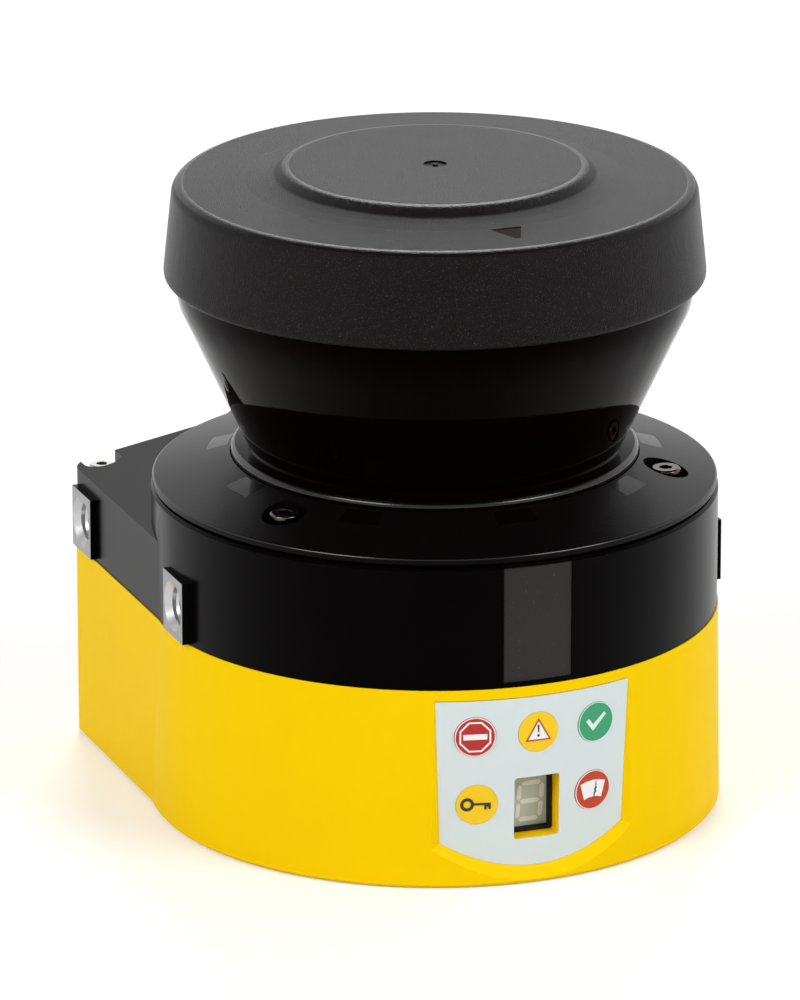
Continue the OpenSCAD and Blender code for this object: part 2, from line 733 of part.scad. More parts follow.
module encoder_disc() {
    slot_r = disc_r - 1.6;
    color([0.75, 0.75, 0.7]) difference() {
        ring(disc_r, shaft_r - shaft_gap, disc_z, disc_z + 0.5);
        for (i = [0:35]) rotate([0, 0, i * 10]) translate([-0.8, -slot_r - 0.6, disc_z - 1])
            cube([1.6, 1.8, 3]);
    }
}

module encoder_reader() {
    w = 8;
    color([0.12, 0.12, 0.13]) translate([-w / 2, disc_r - 3.5, 0]) difference() {
        translate([0, 0, disc_z - 2.2]) cube([w, w, plate_z - disc_z + 2.2]);
        translate([-1, -1, disc_z - 0.7]) cube([w + 2, 5.5, 2]);
    }
}

// ---- Fixed optics --------------------------------------------------------

module optics_chassis() {
    r = mirror_r + 2.2;
    color([0.22, 0.22, 0.24]) difference() {
        union() {
            translate([0, 0, detector_z + board_t])
                cylinder(r = r + 2.3, h = cover_z + 2 - detector_z - board_t);
            translate([0, 0, flange_z - 2.6]) cylinder(r = flange_hole_r + 5, h = 2.6);
        }
        at_angles([0, 120, 240]) translate([0, -chassis_screw_r, flange_z - 4])
            cylinder(r = 1.5, h = 6, $fn = 32);
        translate([0, 0, detector_z]) cylinder(r = r - 1.5, h = 60);
        translate([0, 0, flange_z - 0.5]) cylinder(r = r + play, h = 60);
    }
}

module receiving_lens() {
    r = mirror_r + 2.2;
    ball = 30;
    color([0.75, 0.85, 0.9, 0.6]) translate([0, 0, flange_z - 0.5]) difference() {
        intersection() {
            cylinder(r = r, h = 20);
            translate([0, 0, 1 - sqrt(ball * ball - r * r)]) sphere(r = ball, $fn = 180);
        }
        translate([0, 0, -1]) cylinder(r = 4 + play, h = 20);
    }
}

module laser_tube() {
    color([0.65, 0.6, 0.45]) difference() {
        translate([0, 0, flange_z - 10]) cylinder(r = 4, h = 18.5);
        translate([0, 0, flange_z - 11]) cylinder(r = 2.5, h = 30);
    }
}

module laser_diode() {
    color([0.8, 0.7, 0.3]) translate([0, 0, flange_z - 10]) {
        cylinder(r = 2.45, h = 3);
        translate([0, 0, -1.5]) cylinder(r = 3.2, h = 1.5);
    }
}

module detector_board() {
    color([0.05, 0.35, 0.2]) translate([0, 0, detector_z]) cylinder(r = mirror_r + 3.5, h = board_t);
}

module detector_diode() {
    color([0.2, 0.2, 0.22]) translate([0, 0, detector_z + board_t]) cylinder(r = 3.5, h = 1.8);
}

// ---- Boards --------------------------------------------------------------

board_r = pillar_circle - pillar_r - 1.5;
board_back = recess_y - wall - 5;
post_circle = board_r - 4.3;

module board_plate(z) {
    color([0.05, 0.35, 0.2]) intersection() {
        translate([0, 0, z]) cylinder(r = board_r, h = board_t);
        translate([-board_r, -board_y + 5, z - 1])
            cube([2 * board_r, board_y - 5 + board_back - 3, board_t + 2]);
    }
}

module board_spacers() {
    color([0.8, 0.78, 0.6]) at_angles([-130, -50, 50, 130]) translate([0, -post_circle, 0]) {
        translate([0, 0, floor_t]) cylinder(r = 2.5, h = main_z - floor_t, $fn = 6);
        translate([0, 0, main_z + board_t]) cylinder(r = 2.5, h = power_z - main_z - board_t, $fn = 6);
    }
}

module main_board() { board_plate(main_z); }
module power_board() { board_plate(power_z); }

module main_components() {
    color([0.12, 0.12, 0.13]) translate([0, 0, main_z + board_t]) {
        translate([-8, -9, 0]) cube([14, 14, 1.6]);
        translate([11, -14, 0]) cube([9, 12, 1.4]);
        translate([-22, -12, 0]) cube([9, 9, 1.4]);
        translate([-12, 12, 0]) cube([24, 6, 4]);
    }
}

module power_components() {
    color([0.15, 0.15, 0.17]) translate([0, 0, power_z + board_t]) {
        translate([-20, -10, 0]) cube([12, 12, 4]);
        for (x = [0, 9]) translate([x, -6, 0]) cylinder(r = 3.6, h = 4.4, $fn = 48);
        translate([-8, 12, 0]) cube([18, 5, 3.5]);
    }
}

// ---- Connectors ----------------------------------------------------------

// Threaded shell through the recess wall, with a collar against the wall
module port_shell(r, bore) {
    len = recess_d - 0.4;
    difference() {
        union() {
            translate([0, 0, -wall - 3.6]) cylinder(r = r, h = len + wall + 3.6);
            cylinder(r = r + 2, h = 1.2);
        }
        translate([0, 0, -wall - 5]) cylinder(r = bore, h = len + wall + 10);
    }
}

module port_insert(r, depth) {
    translate([0, 0, -wall - 3]) cylinder(r = r - play, h = recess_d - 0.4 - depth + wall + 3);
}

module port_nut(r) {
    translate([0, 0, -wall - 2.6]) difference() {
        cylinder(r = r + 2.4, h = 2.6, $fn = 6);
        translate([0, 0, -1]) cylinder(r = r + 0.01, h = 5);
    }
}

module at_m12() { translate([-port_x, recess_y, port_z]) rotate([-90, 0, 0]) children(); }
module at_m8() { translate([port_x, recess_y, port_z]) rotate([-90, 0, 0]) children(); }

m12_pin_r = 0.4;
m8_pin_r = 0.5;
module m12_pattern() {
    translate([0, 0, 0]) children();
    for (i = [0:6]) rotate([0, 0, i * 360 / 7]) translate([2.75, 0, 0]) children();
}
module m8_pattern() {
    for (i = [0:3]) rotate([0, 0, 45 + i * 90]) translate([1.5, 0, 0]) children();
}

module m12_shell() { color([0.75, 0.73, 0.68]) at_m12() port_shell(m12_r, m12_r - 1.1); }
module m8_shell() { color([0.75, 0.73, 0.68]) at_m8() port_shell(m8_r, m8_r - 0.9); }
module m12_nut() { color([0.75, 0.73, 0.68]) at_m12() port_nut(m12_r); }
module m8_nut() { color([0.75, 0.73, 0.68]) at_m8() port_nut(m8_r); }

module m12_insert() {
    color([0.08, 0.08, 0.09]) at_m12() difference() {
        port_insert(m12_r - 1.1, 4.8);
        m12_pattern() translate([0, 0, -wall - 6]) cylinder(r = m12_pin_r + 0.01, h = 30, $fn = 32);
    }
}

module m12_contacts() {
    color([0.9, 0.75, 0.35]) at_m12() m12_pattern()
        translate([0, 0, -wall - 5]) cylinder(r = m12_pin_r, h = wall + 5 + recess_d - 1.6, $fn = 32);
}

module m8_insert() {
    color([0.08, 0.08, 0.09]) at_m8() difference() {
        port_insert(m8_r - 0.9, 3);
        m8_pattern() translate([0, 0, -wall - 6]) cylinder(r = m8_pin_r + 0.01, h = 30, $fn = 32);
    }
}

module m8_contacts() {
    color([0.9, 0.75, 0.35]) at_m8() m8_pattern()
        translate([0, 0, -wall - 5]) cylinder(r = m8_pin_r, h = wall + 5 + recess_d - 1.4, $fn = 32);
}

lower_housing();
upper_frame();
front_inlay();
housing_gasket();
optics_cover();
cover_gasket();
dirt_windows();
dirt_sensors();
cover_screws();
rear_screws();
base_screws();
plate_screws();
chassis_screws();
optics_window();
window_seal();
top_cap();
cap_gasket();
panel_film();
stop_lens();
warning_lens();
clear_lens();
restart_lens();
service_lens();
display_module();
status_board();
status_leds();
light_guides();
motor_plate();
motor_bearings();
motor_stator();
motor_coils();
motor_shaft();
rotor_bell();
rotor_magnet();
mirror_carrier();
scan_mirror();
encoder_disc();
encoder_reader();
optics_chassis();
receiving_lens();
laser_tube();
laser_diode();
detector_board();
detector_diode();
main_board();
main_components();
board_spacers();
power_board();
power_components();
m12_shell();
m12_insert();
m12_contacts();
m12_nut();
m8_shell();
m8_insert();
m8_contacts();
m8_nut();
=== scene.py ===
import math

import bmesh
import bpy
from mathutils import Matrix, Vector


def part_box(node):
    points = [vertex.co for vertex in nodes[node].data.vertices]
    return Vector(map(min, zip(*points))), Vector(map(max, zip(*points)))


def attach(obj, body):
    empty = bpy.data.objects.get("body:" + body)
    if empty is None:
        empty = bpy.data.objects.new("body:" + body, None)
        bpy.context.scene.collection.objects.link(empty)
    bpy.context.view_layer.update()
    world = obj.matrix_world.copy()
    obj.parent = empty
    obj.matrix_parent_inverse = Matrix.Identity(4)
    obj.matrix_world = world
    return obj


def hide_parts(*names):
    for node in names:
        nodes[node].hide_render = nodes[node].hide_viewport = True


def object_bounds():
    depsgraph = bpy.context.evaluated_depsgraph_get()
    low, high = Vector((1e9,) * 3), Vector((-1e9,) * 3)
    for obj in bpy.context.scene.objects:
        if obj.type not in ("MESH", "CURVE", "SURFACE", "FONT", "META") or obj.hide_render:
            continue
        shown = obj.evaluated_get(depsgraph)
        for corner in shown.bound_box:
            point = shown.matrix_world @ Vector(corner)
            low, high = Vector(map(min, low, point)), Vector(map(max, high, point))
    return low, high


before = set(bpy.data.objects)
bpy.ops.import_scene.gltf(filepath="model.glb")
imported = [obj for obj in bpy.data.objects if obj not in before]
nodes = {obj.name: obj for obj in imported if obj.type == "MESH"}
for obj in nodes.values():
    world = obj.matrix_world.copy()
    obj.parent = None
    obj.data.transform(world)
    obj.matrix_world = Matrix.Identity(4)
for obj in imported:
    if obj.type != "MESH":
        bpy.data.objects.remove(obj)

cad_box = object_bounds()
low, high = cad_box
bpy.ops.object.select_all(action="DESELECT")

# ---- Camera ----------------------------------------------------------------------
# Stands in front of the scanner, a little to the left and above, far away with a long
# lens. It is turned a quarter of a degree, so that the scanner sits off centre.
azimuth, pan = math.radians(-21.0), math.radians(0.2577)
reach, rise, aim_z = 1.3626, 0.5016, 0.0541
aim = Vector((0, 0, low.z + aim_z))
spot = Vector((math.sin(azimuth) * reach, -math.cos(azimuth) * reach, low.z + rise))
look = (aim - spot).to_track_quat("-Z", "Y")
bpy.ops.object.camera_add(location=spot)
camera = bpy.context.object
camera.name = "camera"
camera.rotation_mode = "QUATERNION"
camera.rotation_quaternion = Matrix.Rotation(pan, 3, "Z").to_quaternion() @ look
camera.data.sensor_width = 36
camera.data.lens = 291.4
camera.data.clip_start, camera.data.clip_end = 0.05, 50
bpy.context.scene.camera = camera
bpy.context.scene.view_settings.view_transform = "Standard"

# ---- Studio ----------------------------------------------------------------------
# A plain pale paper floor in a white surround under a dark ceiling, lit by soft boxes
# on both sides and one behind. The paper shows a little whiter than the lamps make it.
floor_size, floor_gap = 8, 0.0002
paper_white, paper_lift = 0.86, 0.2
soft_light, wall_top, ceiling_from, ceiling_dark = 0.4, 0.5, 0.78, 0.03


def rays_seen(tree, *kinds):
    """One for rays of these kinds, and nought for all others."""
    path = tree.nodes.new("ShaderNodeLightPath")
    seen = path.outputs[kinds[0]]
    for kind in kinds[1:]:
        either = tree.nodes.new("ShaderNodeMath")
        either.operation = "MAXIMUM"
        tree.links.new(seen, either.inputs[0])
        tree.links.new(path.outputs[kind], either.inputs[1])
        seen = either.outputs[0]
    return seen


def ramp(tree, level, first, last):
    """Colours along a level, from one place and colour to another."""
    shades = tree.nodes.new("ShaderNodeValToRGB")
    for stop, (place, colour) in zip(shades.color_ramp.elements, (first, last)):
        stop.position = place
        stop.color = (*colour, 1)
    tree.links.new(level, shades.inputs["Fac"])
    return shades.outputs["Color"]


def soft_box(name, place, target, size, power):
    """A rectangular studio lamp that looks at the target."""
    bpy.ops.object.light_add(type="AREA", location=place)
    lamp = bpy.context.object
    lamp.name = name
    lamp.data.shape = "RECTANGLE"
    lamp.data.size, lamp.data.size_y = size
    lamp.data.energy = power
    lamp.rotation_mode = "QUATERNION"
    lamp.rotation_quaternion = (Vector(target) - Vector(place)).to_track_quat("-Z", "Y")


bpy.ops.mesh.primitive_plane_add(size=floor_size, location=(0, 0, low.z - floor_gap))
floor = bpy.context.object
floor.name = "floor"
paper = bpy.data.materials.new("floor_paper")
paper.use_nodes = True
sheet = paper.node_tree
surface = sheet.nodes["Principled BSDF"]
surface.inputs["Base Color"].default_value = (paper_white, paper_white, paper_white, 1)
surface.inputs["Roughness"].default_value = 0.9
surface.inputs["Specular IOR Level"].default_value = 0.1
surface.inputs["Emission Color"].default_value = (1, 1, 1, 1)
lift = sheet.nodes.new("ShaderNodeMath")
lift.operation = "MULTIPLY"
lift.inputs[1].default_value = paper_lift
sheet.links.new(rays_seen(sheet, "Is Camera Ray", "Is Glossy Ray"), lift.inputs[0])
sheet.links.new(lift.outputs[0], surface.inputs["Emission Strength"])
floor.data.materials.append(paper)

world = bpy.data.worlds.new("surround")
bpy.context.scene.world = world
world.use_nodes = True
sky = world.node_tree
sky.nodes.clear()
soft, shown = (sky.nodes.new("ShaderNodeBackground") for _ in range(2))
soft.inputs["Color"].default_value = (1, 1, 1, 1)
soft.inputs["Strength"].default_value = soft_light
shown.inputs["Strength"].default_value = 1.0
way = sky.nodes.new("ShaderNodeTexCoord")
way_up = sky.nodes.new("ShaderNodeSeparateXYZ")
sky.links.new(way.outputs["Generated"], way_up.inputs[0])
walls = ramp(sky, way_up.outputs["Z"], (wall_top, [1] * 3), (ceiling_from, [ceiling_dark] * 3))
sky.links.new(walls, shown.inputs["Color"])
choice = sky.nodes.new("ShaderNodeMixShader")
sky_out = sky.nodes.new("ShaderNodeOutputWorld")
sky.links.new(rays_seen(sky, "Is Camera Ray", "Is Glossy Ray", "Is Transmission Ray"),
              choice.inputs[0])
sky.links.new(soft.outputs[0], choice.inputs[1])
sky.links.new(shown.outputs[0], choice.inputs[2])
sky.links.new(choice.outputs[0], sky_out.inputs[0])

soft_box("left_box", (-1.03, -0.46, 0.85), (0, 0, 0.06), (0.7, 0.4), 9)
soft_box("right_box", (0.71, -0.88, 0.85), (0, 0, 0.06), (0.7, 0.4), 8.6)
soft_box("back_box", (0.55, 1.43, 1.35), (0, 0, 0.08), (0.6, 0.45), 16)

# ---- Lower housing ---------------------------------------------------------------
# Die-cast aluminium tub with a smooth yellow powder coat, screwed to the upper frame
# from below. The thick coat rounds the edge of the foot and, more, those of the panel
# recess, where the side walls run out softly.
recess_y, recess_half, recess_low, recess_top, wall_r = -44, 23, 0.4, 34.5, 50.25
foot_z, foot_r = 0.6, 45


def coat(name, colour, rough, grain=900.0, relief=0.02, tint=0.04, metal=0.0,
         specular=0.5, gleam=1.0, fleck=0.0):
    """A finish with fine grain: colour and roughness wander, and the surface has a light
    relief. A low gleam dulls the shine seen square on, and flecks of a lighter shade may
    show in the grain."""
    cloud, rough_spread, relief_height = 38, 0.12, 0.0002
    material = bpy.data.materials.new(name)
    material.use_nodes = True
    t = material.node_tree
    shader = t.nodes["Principled BSDF"]
    shader.inputs["Metallic"].default_value = metal
    shader.inputs["Specular IOR Level"].default_value = specular
    shader.inputs["Specular Tint"].default_value = (gleam, gleam, gleam, 1)
    place = t.nodes.new("ShaderNodeTexCoord")
    wander, fine = (t.nodes.new("ShaderNodeTexNoise") for _ in range(2))
    for noise, scale, detail in ((wander, cloud, 4), (fine, grain, 3)):
        noise.inputs["Scale"].default_value = scale
        noise.inputs["Detail"].default_value = detail
        t.links.new(place.outputs["Object"], noise.inputs["Vector"])
    shade = ramp(t, wander.outputs["Fac"], (0.3, [c * (1 - tint) for c in colour]),
                 (0.7, [min(1, c * (1 + tint)) for c in colour]))
    if fleck:
        sparkle = ramp(t, fine.outputs["Fac"], (0.58, (0, 0, 0)),
                       (0.76, [min(1, c + fleck) for c in colour]))
        lighten = t.nodes.new("ShaderNodeMix")
        lighten.data_type = "RGBA"
        lighten.blend_type = "LIGHTEN"
        lighten.inputs["Factor"].default_value = 1
        t.links.new(shade, lighten.inputs["A"])
        t.links.new(sparkle, lighten.inputs["B"])
        shade = lighten.outputs["Result"]
    t.links.new(shade, shader.inputs["Base Color"])
    spread = t.nodes.new("ShaderNodeMapRange")
    spread.inputs["To Min"].default_value = rough * (1 - rough_spread)
    spread.inputs["To Max"].default_value = min(1, rough * (1 + rough_spread))
    t.links.new(wander.outputs["Fac"], spread.inputs["Value"])
    t.links.new(spread.outputs["Result"], shader.inputs["Roughness"])
    bump = t.nodes.new("ShaderNodeBump")
    bump.inputs["Strength"].default_value = relief
    bump.inputs["Distance"].default_value = relief_height
    t.links.new(fine.outputs["Fac"], bump.inputs["Height"])
    t.links.new(bump.outputs["Normal"], shader.inputs["Normal"])
    return material


def copy_of(node, name, flats=0.5):
    """A copy of a CAD node, open in edit mode: doubles merged, flat faces made whole."""
    bpy.ops.object.select_all(action="DESELECT")
    nodes[node].select_set(True)
    bpy.context.view_layer.objects.active = nodes[node]
    bpy.ops.object.duplicate()
    piece = bpy.context.object
    piece.name = piece.data.name = name
    for tag in [key for key in piece.keys() if key.startswith("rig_")]:
        del piece[tag]
    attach(piece, "housing")
    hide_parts(node)
    bpy.ops.mesh.customdata_custom_splitnormals_clear()
    bpy.ops.object.mode_set(mode="EDIT")
    bpy.ops.mesh.select_mode(type="VERT")
    bpy.ops.mesh.select_all(action="SELECT")
    bpy.ops.mesh.remove_doubles(threshold=2e-6)
    if flats:
        bpy.ops.mesh.dissolve_limited(angle_limit=math.radians(flats))
    return piece


def pick_edges(piece, wanted, sharper=30):
    """Selects the edges that are sharper than an angle in degrees and whose middle, in
    millimetres, passes the test."""
    bpy.ops.mesh.select_mode(type="EDGE")
    bpy.ops.mesh.select_all(action="DESELECT")
    mesh = bmesh.from_edit_mesh(piece.data)
    for edge in mesh.edges:
        if len(edge.link_faces) == 2 and edge.calc_face_angle(0) > math.radians(sharper):
            edge.select = wanted((edge.verts[0].co + edge.verts[1].co) * 500)
    bmesh.update_edit_mesh(piece.data)


def round_off(width, segments, **more):
    """Rounds the selected edges; the width is in millimetres."""
    bpy.ops.mesh.bevel(offset=width / 1000, segments=segments, profile=0.5,
                       clamp_overlap=True, **more)


def finish_with(piece, *finishes):
    """Leaves edit mode and gives a piece its finishes, the first one all over."""
    bpy.ops.object.mode_set(mode="OBJECT")
    piece.data.materials.clear()
    for finish in finishes:
        piece.data.materials.append(finish)


def shade_curves(crease):
    """Smooth shading between creases that are sharper than an angle in degrees."""
    bpy.ops.object.shade_smooth_by_angle(angle=math.radians(crease))


def shade_flats(piece, crease):
    """Smooth shading between creases, in which large flat faces stay flat."""
    shade_curves(crease)
    weights = piece.modifiers.new("weights", "WEIGHTED_NORMAL")
    weights.keep_sharp = True
    bpy.ops.object.modifier_apply(modifier="weights")


yellow = coat("yellow_powder_coat", (0.9, 0.59, 0.0012), 0.38, 700, 0.03, 0.012, specular=0.015)
tub = copy_of("lower_housing", "housing_tub")
pick_edges(tub, lambda m: m.y < recess_y and abs(m.x) < recess_half
           and recess_low < m.z < recess_top and m.xy.length > wall_r, 15)
round_off(0.9, 4)
pick_edges(tub, lambda m: m.z < foot_z and m.xy.length > foot_r)
round_off(0.3, 2)
finish_with(tub, yellow)
shade_flats(tub, 18)

# ---- Seals -----------------------------------------------------------------------
# Moulded black rubber rings under the cover, the window and the cap, and a flat gasket
# that follows the edge of the tub. Each is pressed between the two shells that it seals.


def dress(material, *names):
    """Gives CAD nodes their finish, and shades their curved faces smoothly."""
    for name in names:
        node = nodes[name]
        node.material_slots[0].material = material
        for face in node.data.polygons:
            face.use_smooth = True
        weld = node.modifiers.new("weld", "WELD")
        weld.merge_threshold = 2e-6
        split = node.modifiers.new("creases", "EDGE_SPLIT")
        split.split_angle = math.radians(30)


dress(coat("seal_rubber", (0.012, 0.012, 0.012), 0.75, 1500, 0.1, specular=0.2),
      "housing_gasket", "cover_gasket", "window_seal", "cap_gasket")

# ---- Upper frame -----------------------------------------------------------------
# Die-cast aluminium in a semi-gloss black coat, which thins out and shines on its
# slightly rounded edges. The four side faces and their threads are machined after
# coating and stay bare.
bore_y, bore_x, bore_z, land_r = (-5, 45), 46, 42, 4.9
flank_x, joint_z, cavity_r = 41.5, 36.5, 38
notch_z, notch_front, notch_back = 53, 48, 55
milled_x = 1000 * high.x - 0.05
thread_mid = [Vector((side * bore_x, y, bore_z)) for side in (-1, 1) for y in bore_y]


def beside_thread(m):
    """Whether a place in millimetres lies in or round one of the side threads."""
    return abs(m.x) > flank_x and any(
        math.hypot(m.y - t.y, m.z - t.z) < land_r for t in thread_mid)


def in_notch(m):
    """Whether a place in millimetres lies in a notch for one of the rear screws."""
    return m.z < notch_z and abs(m.x) > flank_x and notch_front < m.y < notch_back


def set_finish(piece, number, wanted):
    """Sets another finish on the faces whose middle, in millimetres, passes the test."""
    for face in piece.data.polygons:
        if wanted(face.center * 1000, face):
            face.material_index = number


frame_black = coat("frame_black_coat", (0.0016, 0.0011, 0.0011), 0.24, 900, 0.03, 0.1,
                   specular=0.1, gleam=0.1)
bare_metal = coat("milled_aluminium", (0.3, 0.3, 0.305), 0.3, 2600, 0.12, 0.1, metal=1)
bright_metal = coat("cut_thread", (0.5, 0.5, 0.505), 0.34, 2600, 0.1, 0.08, metal=1)
edge_shine = coat("coat_edge", (0.0016, 0.0011, 0.0011), 0.2, 900, 0.02, 0.1, gleam=0.8)
casting = copy_of("upper_frame", "frame_casting")
finish_with(casting, frame_black, bare_metal, bright_metal, edge_shine)
bpy.ops.object.mode_set(mode="EDIT")
pick_edges(casting, lambda m: m.z > joint_z and m.xy.length > cavity_r
           and not beside_thread(m) and not in_notch(m))
round_off(0.28, 3, material=3)
bpy.ops.object.mode_set(mode="OBJECT")
set_finish(casting, 2, lambda m, face: beside_thread(m))
set_finish(casting, 1, lambda m, face: abs(m.x) > milled_x)
shade_flats(casting, 32)

# ---- Side threads ----------------------------------------------------------------
# Threads cut into the four bosses of the casting, pitch 1.25 mm. One ridge is wound as
# a helix and copied into each bore.
core_r, start_x = 3.4, 42.1


def wind(name, r, corners, pitch, turns, steps):
    """A thread ridge wound round the upright axis. Its three corners are distances out
    from a radius and along the axis; all in millimetres."""
    bpy.ops.object.select_all(action="DESELECT")
    bpy.ops.mesh.primitive_circle_add(vertices=3, radius=0.0005, fill_type="NOTHING",
                                      location=(0, 0, 0))
    ridge = bpy.context.object
    ridge.name = ridge.data.name = name
    for corner, (out, along) in zip(ridge.data.vertices, corners):
        corner.co = ((r + out) / 1000, 0, along / 1000)
    sweep = ridge.modifiers.new("helix", "SCREW")
    sweep.axis = "Z"
    sweep.screw_offset = pitch / 1000
    sweep.iterations = turns
    sweep.steps = sweep.render_steps = steps
    bpy.ops.object.modifier_apply(modifier="helix")
    return ridge


def close_ends(ridge, finish):
    """Closes both ends of a ridge, turns its faces outwards and gives it its finish."""
    bpy.ops.object.mode_set(mode="EDIT")
    bpy.ops.mesh.select_all(action="SELECT")
    bpy.ops.mesh.fill_holes(sides=3)
    bpy.ops.mesh.normals_make_consistent(inside=False)
    finish_with(ridge, finish)
    shade_curves(30)


def set_down(piece, place):
    """Puts a piece made at the origin in its place, and leaves its object unturned."""
    bpy.ops.object.select_all(action="DESELECT")
    piece.select_set(True)
    bpy.context.view_layer.objects.active = piece
    piece.matrix_world = place
    bpy.ops.object.transform_apply(location=True, rotation=True, scale=True)
    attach(piece, "housing")


ridges = [wind("thread_ridge_1", core_r, ((-0.38, 0), (0.02, 0.5), (0.02, -0.5)), 1.25, 6, 40)]
close_ends(ridges[0], bright_metal)
for number in (2, 3, 4):
    bpy.ops.object.duplicate()
    ridges.append(bpy.context.object)
    ridges[-1].name = ridges[-1].data.name = f"thread_ridge_{number}"
for ridge, middle in zip(ridges, thread_mid):
    side = math.copysign(1, middle.x)
    start = Vector((side * start_x, middle.y, middle.z)) / 1000
    set_down(ridge,
             Matrix.Translation(start) @ Matrix.Rotation(side * math.radians(90), 4, "Y"))

# ---- Front inlay -----------------------------------------------------------------
# A strip of matte moulded plastic with a fine grain, let into the front of the collar
# and held by its fit.
dress(coat("inlay_plastic", (0.024, 0.021, 0.021), 0.5, 1600, 0.1, 0.08,
           specular=0.12, fleck=0.03), "front_inlay")

# ---- Optics cover ----------------------------------------------------------------
# Moulded ring plate, matte black with a very fine grain and a shiny rim. Its small
# sensor windows are glossy and let in, and its screws sit deep in round pockets.
rim_r = 1000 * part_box("optics_cover")[1].x
slope_inner_r, slope_margin, rim_width = 33, 0.3, 0.45
screw_top, head_edge = 1000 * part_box("cover_screws")[1].z, 0.6


def true_cone(piece, inner_r, outer_r):
    """Shades the upper face between two radii, in millimetres, as one exact cone,
    however it is cut up."""
    upward, same_slope, nearly_level = 0.8, 0.01, 0.9985
    mesh = piece.data
    upper = [face for face in mesh.polygons
             if face.normal.z > upward and face.center.xy.length > 0
             and all(inner_r < mesh.vertices[v].co.xy.length * 1000 < outer_r
                     for v in face.vertices)]
    slope = max(upper, key=lambda face: face.area).normal.copy()
    corners = [Vector(corner.vector) for corner in mesh.corner_normals]
    for face in upper:
        outward = face.normal.xy.dot(face.center.xy) > 0
        if abs(face.normal.z - slope.z) < same_slope and (outward or slope.z > nearly_level):
            for i, v in zip(face.loop_indices, face.vertices):
                out = mesh.vertices[v].co.xy.normalized() * slope.xy.length
                corners[i] = Vector((out.x, out.y, slope.z))
    mesh.normals_split_custom_set(corners)


cover = copy_of("optics_cover", "cover_moulding", flats=0)
finish_with(cover, coat("cover_plastic", (0.003, 0.0022, 0.0022), 0.36, 2600, 0.14, 0.1,
                        specular=0.22, gleam=0.1), edge_shine)
set_finish(cover, 1, lambda m, face: m.xy.length > rim_r - rim_width and face.normal.z > 0.25)
shade_curves(30)
true_cone(cover, slope_inner_r, rim_r - slope_margin)
dress(coat("sensor_window_gloss", (0.002, 0.001, 0.001), 0.05, 300, 0.002,
           specular=0.3, gleam=0.3), "dirt_windows")
screws = copy_of("cover_screws", "cover_screw_heads")
pick_edges(screws, lambda m: m.z > screw_top - head_edge)
round_off(0.16, 2)
# The dark colour of the screw heads is painted shade: it stands in for the dark surroundings that
# their steel reflects.
finish_with(screws, coat("steel_painted_dark_for_reflection", (0.13, 0.105, 0.1), 0.16, 2200, 0.1, 0.25, metal=1))
shade_flats(screws, 40)

# ---- Other screws ----------------------------------------------------------------
# Zinc-plated socket-head screws: two from above in the notches of the rear block, and
# those that hold the tub, the motor plate and the optics chassis.
dress(coat("zinc_steel", (0.46, 0.44, 0.42), 0.28, 1800, 0.05, metal=1),
      "rear_screws", "base_screws", "plate_screws", "chassis_screws")

# ---- Optics window ---------------------------------------------------------------
# One moulded cone of black infrared plastic, polished inside and out, which stands on
# its seal under the cap. The bead at its foot is rounded and catches the light.
bead_r, bead_low, bead_top = 35.4, 64.3, 65.4


def move_ring(piece, old_r, old_z, new_r, new_z):
    """Moves the vertices of one ring round the upright axis, all in millimetres."""
    near = 0.03
    bpy.ops.mesh.select_all(action="DESELECT")
    mesh = bmesh.from_edit_mesh(piece.data)
    for v in mesh.verts:
        m = v.co * 1000
        v.select = abs(m.z - old_z) < near and abs(m.xy.length - old_r) < near
    bmesh.update_edit_mesh(piece.data)
    bpy.ops.transform.resize(value=(new_r / old_r, new_r / old_r, 1), center_override=(0, 0, 0))
    bpy.ops.transform.translate(value=(0, 0, (new_z - old_z) / 1000))


cone = copy_of("optics_window", "window_cone", flats=0.03)
for ring in ((36.1, 65.0, 36.1, 64.4), (36.07, 65.13, 36.0, 64.82),
             (35.98, 65.24, 35.74, 65.12), (35.85, 65.3, 35.36, 65.29)):
    move_ring(cone, *ring)
finish_with(cone, coat("window_gloss", (0.0018, 0.0005, 0.0005), 0.04, 300, 0.001,
                       specular=0.045, gleam=0.04), edge_shine)
set_finish(cone, 1, lambda m, face: m.xy.length > bead_r and bead_low < m.z < bead_top)
shade_flats(cone, 30)

# ---- Top cap ---------------------------------------------------------------------
# Moulded cap with a fine eroded grain that sparkles a little under the lamps and is
# worn smooth on the edge of the plateau and on the rim. The triangle that marks the
# middle of the field is a polished inset.
brim_z = 1000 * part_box("top_cap")[1].z - 2.9
brim_r, foot_end, foot_rise = 44.12, 33.3, 0.4
brim_slope = foot_rise / (brim_r - foot_end)
plateau_r, plateau_flat, hollow = 24, 24.95, ((28.25, 1.27), (30.4, 0.8))
worn_inner, worn_outer, worn_rim = 25.4, 26.9, 44.1
mark_y, mark_depth, mark_thick = -34, 0.3, 0.16
mark_outline = ((-2.85, 0.25), (2.85, 0.25), (0.46, -5.55), (-0.46, -5.55))


def flat_shape(outline, ring=0.0):
    """A flat face from an outline in millimetres; with a ring width, only its border."""
    bpy.ops.object.select_all(action="DESELECT")
    bpy.ops.mesh.primitive_circle_add(vertices=len(outline), radius=0.003, fill_type="NGON",
                                      location=(0, 0, 0))
    shape = bpy.context.object
    for corner, (x, y) in zip(shape.data.vertices, outline):
        corner.co = (x / 1000, y / 1000, 0)
    if ring:
        bpy.ops.object.mode_set(mode="EDIT")
        bpy.ops.mesh.select_mode(type="FACE")
        bpy.ops.mesh.select_all(action="SELECT")
        bpy.ops.mesh.inset(thickness=ring / 1000, use_even_offset=True)
        bpy.ops.mesh.delete(type="FACE")
        bpy.ops.object.mode_set(mode="OBJECT")
    return shape


